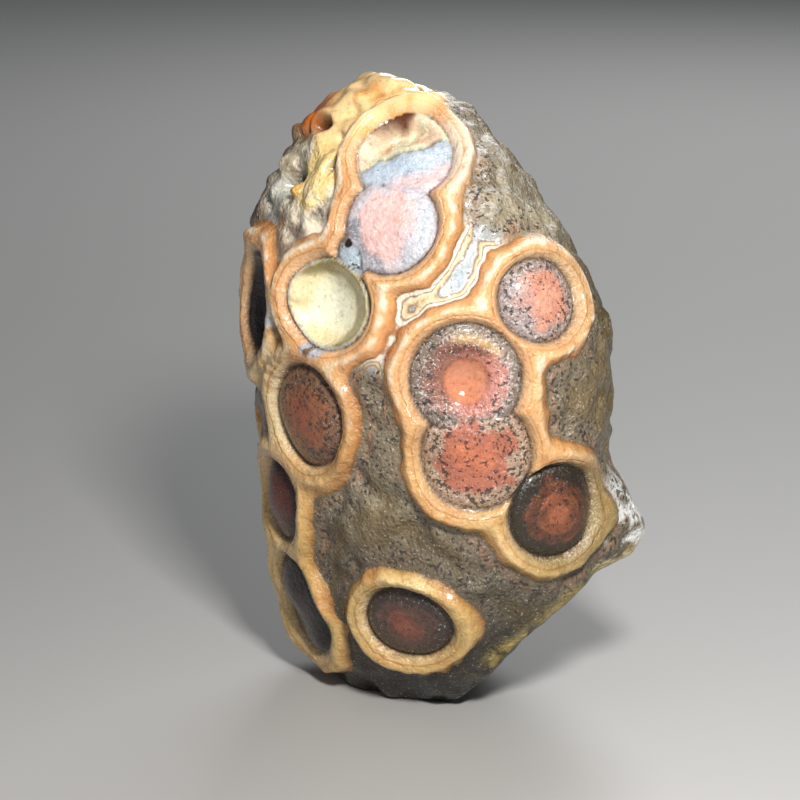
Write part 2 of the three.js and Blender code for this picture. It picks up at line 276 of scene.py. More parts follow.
def nearest_eye(points):
    """For each point: the owning eye, its share of that eye's radius, the signed
    distance from the nearest edge, and the distance from a border between two eyes.
    Outside, the distances blend by -k log(sum exp(-gap / k)), so bands join round. The
    blend k grows from SHARP beside an eye to SHARP + ROUND beyond its band."""
    reach = np.stack(
        [reach_from(points, e.heading, e.height, e.stretch, e.lean) for e in EYES.values()]
    )
    radii = of_eyes("radius")[:, None]
    gaps = reach - radii
    low = gaps.min(0)
    blend = SHARP + ROUND * smooth(0.2, 1.2, low)
    gap = low - blend * np.log(np.exp(-(gaps - low) / blend).sum(0))
    ranked = gaps - of_eyes("rank")[:, None]
    owner = ranked.argmin(0)
    two_lowest = np.partition(ranked, 1, axis=0)[:2]
    border = two_lowest[1] - two_lowest[0]
    share = np.take_along_axis(reach / radii, owner[None], 0)[0]
    return owner, share, gap, border


print("eyes:", len(NAMES), "radii, mm:", of_eyes("radius").min(), "to", of_eyes("radius").max())

# %% [markdown]
# ## Lumps and grain
# Real stone is uneven at every scale. It could be sculpted, or displaced by a texture.
# Long lumps come instead from slanting waves multiplied in pairs, on a point that is
# warped first, so that no direction repeats. Finer grain is value noise: random heights
# on a cubic lattice, blended smoothly. Formulas of the place alone give the same stone
# on each run, for all points at once.


# %% Uneven surfaces
def unevenness(points, length, turn):
    """Sum of three products of two slanting sine waves, on a sine-warped point."""
    k = 2 * math.pi / length
    rates = k * np.array([0.61, 0.53, 0.57])
    turned = np.roll(points, -1, -1)
    warped = points + 0.22 * length * np.sin(rates * turned + turn * np.array([1, 2, 3]))
    total = 0
    for i in range(3):
        pair = 1
        for j in range(2):
            a = turn + 2.4 * (2 * i + j)
            b = -0.8 + 0.32 * (2 * i + j)
            c = math.sqrt(1 - b * b)
            rate = k * (0.75 + 0.09 * i + 0.05 * j)
            run = warped @ np.array([c * math.cos(a), c * math.sin(a), b])
            pair = pair * np.sin(rate * run + 1.3 * a)
        total = total + pair
    return total


def grain(points, cell, seed):
    """Value noise from -1 to 1: eight lattice corners, blended by 3t^2 - 2t^3."""
    q = points / cell + 17.3 * seed
    base = np.floor(q)
    f = q - base
    f = f * f * (3 - 2 * f)
    total = 0
    for corner in np.ndindex(2, 2, 2):
        at = base + corner
        wild = np.sin(at @ np.array([127.1, 311.7, 74.7]) + seed) * 43758.5453
        weight = np.where(np.array(corner) == 1, f, 1 - f).prod(-1)
        total = total + weight * (wild - np.floor(wild))
    return 2 * total - 1


def rough(points, cell, seed, octaves=3):
    """Value noise summed over octaves, each half as large and half as high."""
    return sum(grain(points, cell / 2**k, seed + k) / 2**k for k in range(octaves))


probe = np.linspace(-10, 10, 999)[:, None] * [1.0, 0.7, 0.4]
print("spread of the waves:", unevenness(probe, 5, 0).std().round(2))
print("spread of the noise:", rough(probe, 1, 1).std().round(2))


# %% [markdown]
# ## Relief
# The bands are the look of this stone. They could be tubes laid on it, but they run
# together where eyes touch. So a profile is drawn over the distance from the nearest eye:
# it rises steeply from a thin groove at the eye's edge, carries a crest at six tenths of
# its width and falls away outside.
# The eyes are low domes, but one is a deep smooth cup, one a long hollow, one sinks to a
# glossy dish, and the crown eye is broken open above a slanting line.
# All of it is one height over the bare body, so the surface can't fold into itself.

# %% Values of the relief
BAND_WIDTH = 1.35
BAND_WOBBLE = ((0.08, 4.1, 0.7), (0.04, 1.7, 2.1))  # share of the width, wave length, turn
BAND_HEIGHT = 0.5
WALL_UP = (0, 0.3)  # places across the band between which it rises
WALL_DOWN = (0.62, 1.12)  # and falls
CREST_AT = 0.6
CREST_WIDTH = 0.16
CREST_SHARE = 0.25
GROOVE_DEPTH = 0.16
GROOVE_WIDTH = 0.16
BORDER_DEPTH = 0.07
BORDER_WIDTH = 0.12
CUP_DEPTH = 1.3
CUP_SHARE = 0.92
CUP_LIP = (0.96, 0.05, 0.12)  # at this share of the radius, this wide, this high
HOLLOW_DEPTH = 1.2
HOLLOW_WALL = (0.97, 0.7)  # between these shares of the radius
FUNNEL = (0.3, 0.8, 0.3)  # between two shares of the radius, this deep
DISH_AT = (11, 21.3)
DISH_RADIUS = 1.35
DISH_DEPTH = 0.55
BREAK_SLANT = math.radians(26.6)
BREAK_STEP = 0.4
BREAK_DEPTH = 1.9
BREAK_RUN = 2.6

Place = namedtuple("Place", "heading height radius size stretch lean", defaults=(1.0, 0))
LUMPS = [
    Place(-90, 33.2, 0.75, 0.6),
    Place(-84, 34.2, 0.85, 0.6),
    Place(-68, 34.8, 0.9, 0.6, stretch=1.3, lean=60),
    Place(-66, 35.9, 1.9, 0.45),
    Place(-20, 37.0, 2.2, 0.45, stretch=1.3),
    Place(-100, 36.9, 1.4, 0.2),
    Place(-93, 35.2, 1.2, 0.5),
    Place(-45, 31.6, 1.1, 0.35, stretch=1.6, lean=90),
    Place(-57, 30.7, 0.45, 0.4),
    Place(-84, 31.2, 1.7, 0.5, stretch=1.4, lean=90),
    Place(-91, 29.5, 2.0, 0.65, stretch=1.2, lean=90),
    Place(22.4, 23.9, 0.5, 0.45),
]
PITS = [
    Place(-65, 31.2, 1.1, 1.5, stretch=1.25, lean=30),
    Place(-62, 34.4, 0.75, 0.9, stretch=1.4, lean=20),
    Place(-43, 34.0, 0.35, 0.7),
    Place(-39.5, 32.7, 0.32, 0.5, stretch=4.0, lean=80),
    Place(67, 36.5, 1.1, 0.75),
]
print("lumps:", len(LUMPS), "pits:", len(PITS), "crest, mm:", BAND_HEIGHT * (1 + CREST_SHARE))


# %% Distances that shape the relief
def reach_of(points, place):
    """Distance from a lump or pit as a share of its radius."""
    reach = reach_from(points, place.heading, place.height, place.stretch, place.lean)
    return reach / place.radius


def dish_reach(points):
    """Distance from the small dish as a share of its radius."""
    return reach_from(points, *DISH_AT) / DISH_RADIUS


def past_break(points):
    """Distance above the slanting line along which the crown eye is broken."""
    centre, _, along, up = middle_of("crown")
    return (points - centre) @ (math.cos(BREAK_SLANT) * up - math.sin(BREAK_SLANT) * along)


def past_ragged_break(points):
    """The same distance, with noise that makes the line ragged."""
    return past_break(points) + 0.25 * rough(points, 0.9, 5)


def across_band(points, gap):
    """Place across the band: 0 at the eye, 1 at the outer foot, with an uneven width."""
    uneven = sum(size * unevenness(points, length, turn) for size, length, turn in BAND_WOBBLE)
    return gap / (BAND_WIDTH * (1 + uneven))


# %% Heights inside and outside the eyes
def cup_floor(share):
    """-depth (1 - (share / its own share)^3), with a thin lip round it."""
    bowl = -CUP_DEPTH * np.maximum(0, 1 - (share / CUP_SHARE) ** 3)
    return bowl + CUP_LIP[2] * bell((share - CUP_LIP[0]) / CUP_LIP[1])


def crown_floor(points, share):
    """Level below the break. Above it a step down, and then a slope to the full depth."""
    past = past_ragged_break(points)
    depth = BREAK_STEP + (BREAK_DEPTH - BREAK_STEP) * smooth(0.3, BREAK_RUN, past)
    ragged = 1 + 0.18 * rough(points, 0.8, 9)
    return -depth * ragged * smooth(-0.1, 0.15, past) * smooth(0.96, 0.8, share)


def dish_floor(points, share):
    """A wide funnel, and in its middle a dish: -depth (1 - reach^2)."""
    funnel = FUNNEL[2] * (1 - smooth(*FUNNEL[:2], share))
    return -funnel - DISH_DEPTH * np.maximum(0, 1 - dish_reach(points) ** 2)


def eye_rise(points, owner, share, border):
    """Height inside the eyes: a dome 1 - share^2, or the eye's own hollow."""
    rise = of_eyes("dome")[owner] * np.maximum(0, 1 - share**2)
    rise = np.where(owner == NAMES.index("cup"), cup_floor(share), rise)
    trough = -HOLLOW_DEPTH * smooth(*HOLLOW_WALL, share)
    rise = np.where(owner == NAMES.index("hollow"), trough, rise)
    rise = np.where(owner == NAMES.index("crown"), crown_floor(points, share), rise)
    rise = rise + np.where(owner == NAMES.index("dish"), dish_floor(points, share), 0)
    return rise - BORDER_DEPTH * bell(border / BORDER_WIDTH)


def relief(points):
    """Height over the bare body, and the fields that the colours need later."""
    owner, share, gap, border = nearest_eye(points)
    across = across_band(points, gap)
    wall = smooth(*WALL_UP, across) * (1 - smooth(*WALL_DOWN, across))
    band = BAND_HEIGHT * (wall + CREST_SHARE * bell((across - CREST_AT) / CREST_WIDTH))
    outside = gap > 0
    rise = np.where(outside, band, eye_rise(points, owner, share, border))
    lumps = np.max([lump.size * mound(reach_of(points, lump)) for lump in LUMPS], 0)
    rise = np.where(outside, np.maximum(rise, lumps), rise)
    for pit in PITS:
        rise = rise - outside * pit.size * (1 - smooth(0.4, 1, reach_of(points, pit)))
    rise = rise - GROOVE_DEPTH * bell(gap / GROOVE_WIDTH)
    return rise, dict(owner=owner, share=share, gap=gap, border=border, across=across)


# %% [markdown]
# ## The whole surface
# Body, relief, spur, lumps and grain are added in turn. Separate pieces could be joined
# by a boolean, but one sum of heights leaves no seams. The broken underside is pressed
# flat after them, and the foot is cut level, because the stone stands on it.

# %% Surface for any direction
SPUR_AT = (80, 11.2)
SPUR_RADIUS = 3.7
SPUR_RISE = 2.05
SPUR_PITCH = -6
SWELL = (6.0, 0.12)  # wave length and height, everywhere
RIPPLE = (2.6, 0.12)  # and on the bare matrix only
GRAIN_CELL = 0.85
GRAIN_ON_MATRIX = 0.09
GRAIN_ON_BANDS = 0.06


def surface(towards):
    """Points of the stone and its fields, for unit directions."""
    out = outward(towards)
    bare_body = skin(towards)
    rise, fields = relief(bare_body)
    near = reach_from(bare_body, *SPUR_AT) / SPUR_RADIUS
    spur = SPUR_RISE * np.maximum(0, 1 - near**2) ** 1.5
    points = bare_body + rise[..., None] * out
    free = smooth(0.9, 1.5, fields["gap"] / BAND_WIDTH)
    on_band = smooth(0.05, 0.4, fields["across"]) * (1 - free)
    lumps = SWELL[1] * unevenness(points, SWELL[0], 0.3)
    lumps = lumps + free * RIPPLE[1] * unevenness(points, RIPPLE[0], 1.9)
    crusted = smooth(33.4, 34.6, points[..., 2]) * smooth(3.5, 1.0, points[..., 0])
    small = (GRAIN_ON_MATRIX * free + GRAIN_ON_BANDS * on_band) * (1 - 0.7 * crusted)
    lumps = lumps + small * rough(points, GRAIN_CELL, 2, octaves=4)
    points = points + lumps[..., None] * out
    into = way(UNDERSIDE.heading, UNDERSIDE.pitch)
    cut = UNDERCUT[2] * smooth(*UNDERCUT[:2], points[..., 2:]) * into
    over = beyond(points + cut, UNDERSIDE)
    points = press(points + cut, UNDERSIDE) - cut
    points = points + spur[..., None] * way(SPUR_AT[0], SPUR_PITCH)
    points[..., 2] = np.maximum(points[..., 2], 0)
    fields.update(free=free, over=over, spur=near, body=bare_body, out=out)
    return points, fields


# %% [markdown]
# ## The grid
# A globe of meridians would crowd its cells at the poles. Six square grids, wrapped from
# the faces of a cube onto the sphere, keep the cells nearly even. The four sides get more
# rows than columns, because the stone is nearly twice as tall as it is wide.
# Points on the cube's edges are shared, so the mesh is closed.

# %% Six grids on a cube
COLUMNS = 110
ROWS = 166


def cube_grids(columns, rows):
    """Unit directions of six grids: tan of even angles on each face of a cube."""

    def even(count):
        return np.tan(np.linspace(-math.pi / 4, math.pi / 4, count + 1))

    a, b = np.meshgrid(even(columns), even(rows), indexing="ij")
    one = np.ones_like(a)
    sides = [np.stack(s, -1) for s in ((a, -one, b), (one, a, b), (-a, one, b), (-one, -a, b))]
    a, b = np.meshgrid(even(columns), even(columns), indexing="ij")
    one = np.ones_like(a)
    caps = [np.stack([a, b, one], -1), np.stack([a, -b, -one], -1)]
    return sides + caps


def closed_grid(columns, rows):
    """All directions once, and the quads between them, facing outwards."""
    directions, quads, start = [], [], 0
    for grid in cube_grids(columns, rows):
        n, m = grid.shape[:2]
        index = start + np.arange(n * m).reshape(n, m)
        corners = (index[:-1, :-1], index[1:, :-1], index[1:, 1:], index[:-1, 1:])
        quads.append(np.stack(corners, -1).reshape(-1, 4))
        directions.append(grid.reshape(-1, 3))
        start += n * m
    directions = np.concatenate(directions)
    _, first, shared = np.unique(
        directions.round(6), axis=0, return_index=True, return_inverse=True
    )
    return unit(directions[first]), shared.reshape(-1)[np.concatenate(quads)]


towards, quads = closed_grid(COLUMNS, ROWS)
stone_points, fields = surface(towards)
low, high = stone_points.min(0), stone_points.max(0)
to_ground = np.array([-(low[0] + high[0]) / 2, -(low[1] + high[1]) / 2, -low[2]])
print("points:", len(towards), "faces:", len(quads), "size, mm:", (high - low).round(2))

# %% [markdown]
# ## The mesh
# The stone is one piece, so it is one mesh. Points could be added one by one, but whole
# arrays go in at once with foreach_set. Colour fields travel with it as attributes:
# they follow the surface, so the pattern stays put on every side.


# %% Put arrays into a mesh
def mesh_object(name, points_mm, faces):
    """A smooth object from millimetre points and equal-sided faces, at the origin."""
    mesh = bpy.data.meshes.new(name)
    sides = faces.shape[1]
    mesh.vertices.add(len(points_mm))
    mesh.vertices.foreach_set("co", (points_mm * MM).astype(np.float32).ravel())
    mesh.loops.add(faces.size)
    mesh.loops.foreach_set("vertex_index", faces.astype(np.int32).ravel())
    mesh.polygons.add(len(faces))
    mesh.polygons.foreach_set("loop_start", np.arange(len(faces), dtype=np.int32) * sides)
    mesh.polygons.foreach_set("use_smooth", np.ones(len(faces), bool))
    mesh.update(calc_edges=True)
    mesh.validate()
    thing = bpy.data.objects.new(name, mesh)
    bpy.context.collection.objects.link(thing)
    return thing


def add_field(thing, name, values):
    """Stores one number or one colour for each point as an attribute."""
    values = np.asarray(values, np.float32)
    if values.ndim == 1:
        made = thing.data.attributes.new(name, "FLOAT", "POINT")
        made.data.foreach_set("value", values)
    else:
        made = thing.data.attributes.new(name, "FLOAT_COLOR", "POINT")
        opaque = np.concatenate([values, np.ones((len(values), 1), np.float32)], 1)
        made.data.foreach_set("color", opaque.ravel())


stone = mesh_object("stone_skin", stone_points + to_ground, quads)
print("mesh:", stone.name, "with", len(stone.data.polygons), "faces")

# %% [markdown]
# ## Colours by place
# An eye runs from a warm core to a darker rim, and no two are alike. Painting them by
# hand would need a picture. Here each eye has three colours, mixed by the share of its
# radius, and noise makes the borders ragged. The broken crown, the milky pink eye and
# the cup have patches of blue chalcedony, mixed in by where they lie.


# %% Colour helpers
def tint(red, green, blue):
    """A linear colour from everyday 0-255 values: (v / 255) to the power 2.2."""
    return np.array([red, green, blue]) ** 2.2 / 255**2.2


def mix(a, b, share):
    """a where share is 0, b where it is 1."""
    return a + (b - a) * np.asarray(share)[..., None]


def near_spot(points, heading, height, radius, edge=0.5, stretch=1.0, lean=0.0):
    """A soft patch: 1 inside (1 - edge) of the radius, 0 outside it."""
    q = reach_from(points, heading, height, stretch, lean) / radius
    return 1 - smooth(1 - edge, 1, q)


print("band orange as a linear colour:", tint(240, 180, 122).round(3))


# %% Paint of the eyes
# Three colours from core to rim, then the strength of dark flecks, pale grains and rings,
# and how ragged the borders between the colours are.
Paint = namedtuple("Paint", "core middle rim flecks grains rings ragged")
EYE_PAINT = {
    "crown": Paint((205, 200, 152), (196, 170, 128), (120, 76, 50), 0.1, 0.0, 0.0, 1.0),
    "pink": Paint((242, 192, 184), (240, 196, 190), (206, 198, 206), 0.2, 0.9, 0.0, 2.4),
    "cup": Paint((252, 250, 226), (252, 248, 216), (246, 232, 184), 0.0, 0.0, 0.0, 1.0),
    "bridge": Paint((184, 200, 212), (172, 188, 200), (150, 160, 170), 0.7, 0.8, 0.0, 1.0),
    "right": Paint((238, 172, 146), (224, 156, 132), (164, 144, 136), 0.9, 1.0, 0.0, 2.0),
    "dish": Paint((206, 126, 98), (192, 124, 108), (136, 122, 112), 0.9, 1.0, 0.0, 1.4),
    "twin": Paint((206, 122, 94), (186, 114, 92), (184, 154, 130), 1.0, 0.8, 0.0, 2.8),
    "edge": Paint((164, 98, 68), (116, 74, 54), (62, 54, 40), 1.0, 0.3, 0.6, 1.8),
    "left": Paint((172, 94, 68), (150, 98, 72), (132, 98, 76), 1.0, 0.5, 0.2, 2.8),
    "side": Paint((104, 42, 28), (88, 36, 24), (64, 28, 18), 0.6, 0.1, 0.3, 2.0),
    # The flank eye is dark red, painted nearly black: partly painted shade, as it turns away from
    # the lamp.
    "flank": Paint((48, 18, 12), (40, 16, 11), (28, 12, 9), 0.2, 0.0, 0.2, 1.0),
    "foot": Paint((136, 84, 68), (98, 74, 66), (72, 60, 56), 0.9, 0.5, 0.4, 2.0),
    "hollow": Paint((84, 56, 46), (66, 46, 40), (54, 40, 36), 0.3, 0.1, 0.0, 1.0),
    "rear_1": Paint((186, 104, 76), (154, 90, 70), (112, 92, 78), 0.75, 0.5, 0.2, 1.8),
    "rear_2": Paint((206, 122, 92), (176, 104, 82), (122, 102, 88), 0.85, 0.6, 0.0, 1.8),
    "rear_3": Paint((226, 184, 174), (208, 176, 168), (172, 168, 172), 0.4, 0.6, 0.0, 2.0),
    "rear_4": Paint((146, 76, 54), (110, 66, 52), (68, 54, 46), 0.7, 0.2, 0.8, 1.2),
    "rear_5": Paint((118, 62, 46), (94, 56, 46), (68, 52, 44), 0.5, 0.2, 0.4, 1.4),
    "rear_6": Paint((130, 82, 66), (102, 76, 66), (74, 62, 56), 0.5, 0.3, 0.5, 1.4),
    "rear_7": Paint((164, 88, 64), (130, 78, 60), (92, 70, 58), 0.75, 0.4, 0.2, 1.8),
}

place = fields["body"]
owner, share, gap, border = (fields[k] for k in ("owner", "share", "gap", "border"))
across = fields["across"]
cloud = rough(place, 2.4, 11)
patch = rough(place, 1.1, 13)
speck = rough(place, 0.5, 17)


def by_eye(field):
    """One field of the paints, taken for each point's own eye."""
    return np.array([getattr(EYE_PAINT[name], field) for name in NAMES])[owner]


tones = np.array([[tint(*colour) for colour in EYE_PAINT[name][:3]] for name in NAMES])[owner]
ragged = share + by_eye("ragged") * (0.06 * patch + 0.04 * speck)
eye_paint = mix(tones[:, 0], tones[:, 1], smooth(0.25, 0.45, ragged))
eye_paint = mix(eye_paint, tones[:, 2], smooth(0.6, 0.74, ragged))
print("eyes painted:", len(NAMES))

# %% [markdown]
# ## Patches inside single eyes
# On the real stone chalcedony of other colours has grown into some eyes: blue and cream
# at the break, blue beside the pink core. Three patches are painted shadows instead: dark
# brown deep in the break, olive on the cup's floor under its upper right rim, and dark
# brown under the pale ledge of the dish eye. A mask painted by hand would need a picture.
# Each patch is a soft step over a slanting distance instead, with noise added to the
# distance, so that its border is uneven.


# %% Helpers for one eye
def is_eye(name):
    """1 on the points of one eye, 0 elsewhere."""
    return (owner == NAMES.index(name)).astype(float)


def along_eye(name, along, up):
    """Distance from an eye's middle in a slanting direction of its own plane."""
    middle, _, to_right, to_top = middle_of(name)
    return (place - middle) @ (along * to_right + up * to_top)


def paint_eye(name, colour, strength):
    """The eyes' paint, with a colour mixed into one of them."""
    return mix(eye_paint, colour, is_eye(name) * strength)


print("points on the crown eye:", int(is_eye("crown").sum()))

# %% Broken crown eye
BLUE = tint(184, 200, 216)
DARK_BLUE = tint(112, 122, 136)
GREEN_CREAM = tint(238, 236, 204)
BREAK_SHADOW = tint(98, 54, 36)

past = past_ragged_break(place)
floor = mix(GREEN_CREAM, tint(236, 206, 176), smooth(0.0, 0.6, patch))
floor = mix(floor, tint(186, 150, 112), smooth(0.2, 0.9, cloud) * smooth(0.8, 1.6, past))
# Painted shadow: dark brown deep in the break, under its upper rim.
floor = mix(floor, BREAK_SHADOW, smooth(2.3, 2.75, past + 0.2 * patch))
plateau = mix(BLUE, tint(230, 200, 200), smooth(-1.0, -1.9, past + 0.4 * cloud))
broken = mix(plateau, floor, smooth(-0.1, 0.18, past))
broken_edge = bell((past - 0.12) / 0.2) * smooth(-0.4, 0.2, speck)
broken = mix(broken, tint(82, 74, 66), 0.75 * broken_edge)
eye_paint = paint_eye("crown", broken, 1.0)
print("points past the break:", int((is_eye("crown") * (past > 0)).sum()))

# %% Pink eye and cup
blue_side = smooth(0.5, 1.5, along_eye("pink", 0.9, 0.0) + 0.9 * cloud)
blue_side = blue_side * smooth(0.99, 0.9, share)
eye_paint = paint_eye("pink", tint(182, 194, 208), 0.8 * blue_side)
blue_foot = smooth(1.1, 2.0, along_eye("pink", -0.7, -0.75) + 0.8 * patch)
eye_paint = paint_eye("pink", DARK_BLUE, 0.7 * blue_foot)

collar = smooth(0.88, 1.0, share) * smooth(-0.4, 0.8, -along_eye("cup", 0.5, 0.6) + 1.5 * patch)
mottle = mix(tint(196, 212, 226), tint(96, 84, 78), smooth(0.1, 0.5, patch + speck))
eye_paint = paint_eye("cup", mottle, collar)
eye_paint = paint_eye("cup", tint(150, 160, 170), smooth(0.92, 1.04, share))
lime = smooth(0.2, 0.8, rough(place * [1, 1, 2.2], 1.5, 23)) * smooth(0.5, 0.85, share)
eye_paint = paint_eye("cup", tint(186, 160, 108), 0.5 * (1 - collar) * lime)
# Painted shadow: an olive-brown crescent on the bowl's floor under its upper right rim, where the
# rim's shadow falls.
off_centre = np.hypot((along_eye("cup", 1, 0) + 0.8) / 1.15, along_eye("cup", 0, 1) + 0.5)
cup_rim_shadow = smooth(2.0, 2.45, off_centre + 0.15 * patch + 0.1 * speck) * smooth(0.98, 0.9, share)
eye_paint = paint_eye("cup", tint(124, 108, 62), 0.85 * cup_rim_shadow)
print("points on the cup's collar:", int((is_eye("cup") * (collar > 0.5)).sum()))

# %% Dish, twin and right eyes
in_dish = is_eye("dish") * (1 - smooth(0.9, 1.1, dish_reach(place)))
eye_paint = mix(eye_paint, tint(214, 142, 110), in_dish)
brown_arc = smooth(-0.3, 1.0, along_eye("dish", -0.9, 0.3)) * (1 - in_dish)
eye_paint = paint_eye("dish", tint(136, 96, 82), 0.7 * brown_arc * smooth(0.9, 0.7, share))
ledge = is_eye("dish") * bell((share - 0.72) / 0.1)
ledge = ledge * smooth(1.6, 2.2, along_eye("dish", 0.3, 0.95))
eye_paint = mix(eye_paint, tint(214, 178, 122), 0.9 * ledge)
# Painted shadow: dark brown just under the pale ledge, where the ledge shades the funnel below
# it.
shadow_under_ledge = bell((share - 0.55) / 0.1) * smooth(1.0, 1.7, along_eye("dish", 0, 1))
eye_paint = paint_eye("dish", tint(96, 52, 38), 0.75 * shadow_under_ledge)
rosy_side = smooth(0.8, 1.8, along_eye("dish", 0.95, -0.3)) * smooth(0.9, 0.6, share)
eye_paint = paint_eye("dish", tint(214, 150, 138), 0.8 * rosy_side)

TWIN_CORES = ((-0.75, 0.35), (0.45, -0.15))  # along and up from the middle of the eye
for along, up in TWIN_CORES:
    core = bell(along_eye("twin", 1, 0) - along) * bell((along_eye("twin", 0, 1) - up) / 0.7)
    eye_paint = paint_eye("twin", tint(220, 130, 96), 0.9 * smooth(0.5, 0.8, core))

grey_left = smooth(0.5, 1.6, -along_eye("right", 0.95, 0.3) + 0.5 * patch)
eye_paint = paint_eye("right", tint(166, 154, 154), 0.85 * grey_left)
print("points in the small dish:", int((in_dish > 0.5).sum()))

# %% [markdown]
# ## Colours outside the eyes
# The matrix is grey-brown chalcedony, cloudier and paler towards the upper right, creamy
# at the upper left, with a halo of dark specks round every band. One noise could mix its
# colours, but the real patches have their places. So a table holds them, and a loop mixes
# them in one after another, the wide ones first, each broken up by its own mask of noise.


# %% Paint of the matrix
def add_patches(paint, patches):
    """Mixes soft patches into a paint, one after another: strength * patch * mask."""
    for where, colour, strength, mask in patches:
        paint = mix(paint, tint(*colour), strength * near_spot(place, *where) * mask)
    return paint


matrix = mix(tint(128, 112, 84), tint(82, 78, 62), smooth(-0.1, 0.9, cloud))
matrix = mix(matrix, tint(160, 152, 130), 0.5 * smooth(0.2, 1.0, patch))
far_brown = smooth(2.0, 3.2, across) * smooth(-0.5, 0.4, cloud)
matrix = mix(matrix, tint(108, 90, 52), 0.55 * far_brown)
halo = smooth(1.0, 1.15, across) * (1 - smooth(1.7, 2.3, across))
matrix = mix(matrix, tint(136, 126, 110), 0.6 * halo)
pink_line = bell((across - 1.3 - 0.06 * patch) / 0.1) * smooth(-0.1, 0.5, cloud + 0.3)
matrix = mix(matrix, tint(176, 132, 106), 0.6 * pink_line)
print("mean of the plain matrix:", matrix.mean(0).round(3))

# %% Patches of the matrix
CREAM_AT = (-50, 31.0, 5.5)
cream_side = near_spot(place, *CREAM_AT)
brown_halo = bell((across - 1.35) / 0.35) * smooth(-0.5, 0.3, patch)
# place (heading, height, radius, edge, stretch, lean), colour, strength, mask
MATRIX_PATCHES = [
    ((52, 31.0, 8.0), (160, 144, 122), 0.8, smooth(-0.6, 0.5, cloud + 0.4 * patch)),
    ((70, 31.5, 6.0), (176, 166, 140), 0.7, smooth(-0.9, 0.2, patch)),
    ((26, 30.5, 5.5), (150, 104, 72), 0.6, brown_halo),
    (CREAM_AT, (254, 242, 216), 0.92, smooth(-0.9, 0.2, patch)),
    (CREAM_AT, (92, 76, 60), 0.65, smooth(0.1, 0.5, speck + 0.5 * cloud)),
    ((-45, 27.3, 2.6, 0.6), (176, 160, 160), 0.7, smooth(0.4, -0.4, patch)),
    ((-66, 27.6, 3.0, 0.6), (112, 82, 62), 0.8, smooth(-0.3, 0.4, patch)),
    ((-54, 28.2, 2.3, 0.6), (150, 130, 116), 0.8, smooth(-0.6, 0.3, cloud + speck)),
    ((-69, 28.4, 2.4, 0.6), (208, 150, 72), 1.0, smooth(0.3, 0.55, speck)),
    ((-47, 32.2, 1.7, 0.25, 1.8, 90), (252, 220, 148), 1.0, 1),
    ((-72, 29.7, 1.9), (198, 200, 190), 0.8, 1),
]
matrix = add_patches(matrix, MATRIX_PATCHES)

nook = near_spot(place, -56, 21.4, 2.2, 0.3, 1.3, 90)
ridges = smooth(-0.3, 0.3, np.sin(9 * reach_from(place, -52, 21.6) + 2 * patch))
matrix = mix(matrix, mix(tint(150, 108, 66), tint(222, 186, 128), ridges), 0.9 * nook)
matrix = add_patches(matrix, [((-57, 30.7, 0.6, 0.4), (226, 176, 92), 1.0, 1)])
# The first four pits are darkened inside, as painted shade. The last pit is a dent, and stays
# unpainted.
for pit, strength in zip(PITS, (0.9, 0.9, 0.95, 0.9)):
    shade = 1 - smooth(0.35, 0.95, reach_of(place, pit))
    matrix = mix(matrix, tint(52, 44, 38), strength * shade)
print("patches:", len(MATRIX_PATCHES), "mean with them:", matrix.mean(0).round(3))

# %% Foot, spur and underside
# Painted shade: the matrix is darkened towards the foot, where less light reaches.
matrix = matrix * (0.12 + 0.88 * smooth(2, 14, place[:, 2]))[:, None]
# The near-white on the spur is partly its pale crystals and partly a painted highlight of their
# glitter.
horn = 1 - smooth(0.55, 1.1, fields["spur"])
matrix = mix(matrix, tint(250, 252, 250), 0.9 * horn * smooth(-0.5, 0.5, patch + speck))
edge_line = bell((fields["over"] + 0.3) / 0.5) * smooth(-0.35, 0.35, patch + 0.2)
edge_line = edge_line * smooth(1.5, 4.0, place[:, 2])
matrix = mix(matrix, tint(186, 164, 96), 0.75 * edge_line)
matrix = mix(matrix, tint(70, 64, 54), 0.6 * smooth(0.2, 0.9, fields["over"]))
matrix = add_patches(matrix, [((22.4, 23.9, 0.6, 0.3), (228, 182, 108), 1.0, 1)])
print("points on the spur:", int((horn > 0.5).sum()))

# %% [markdown]
# ## Bands and crust
# The bands are orange chalcedony, duller and yellower towards the foot, and the crown is
# crusted with a paler, waxy layer. Two colours by height would do from far away. Close by
# each stretch of band has its own tone, so the same loop mixes those in.

# %% Paint of the bands and the crust
height = place[:, 2]
band_paint = mix(tint(240, 180, 122), tint(214, 176, 110), smooth(22, 8, height))
band_paint = mix(band_paint, tint(248, 204, 146), 0.5 * smooth(0.0, 0.9, cloud))
band_paint = mix(band_paint, tint(208, 126, 66), 0.4 * smooth(0.1, 1.0, -cloud))
BAND_PATCHES = [
    ((-62, 18.5, 5.0, 0.6), (222, 200, 150), 0.7, 1),
    ((62, 12.0, 6.5, 0.6), (146, 124, 80), 0.85, 1),
    ((-10, 8.8, 2.4, 0.6), (252, 222, 156), 0.8, 1),
    ((-28, 17.6, 4.0, 0.6), (196, 142, 84), 0.75, 1),
    ((64, 26.0, 4.5, 0.6), (204, 166, 118), 0.6, 1),
    ((36, 33.2, 3.6, 0.6), (255, 234, 206), 0.7, 1),
]
band_paint = add_patches(band_paint, BAND_PATCHES)
nook_paint = mix(tint(150, 108, 66), tint(226, 196, 142), ridges)
band_paint = mix(band_paint, nook_paint, 0.75 * nook)
gap_in_band = near_spot(place, -57, 23.5, 1.1)
gap_in_band = np.maximum(gap_in_band, near_spot(place, -38, 22.1, 0.7, stretch=1.6))
blue_mottle = mix(tint(190, 204, 214), tint(74, 70, 70), smooth(0.1, 0.4, speck))
band_paint = mix(band_paint, blue_mottle, 0.85 * gap_in_band)

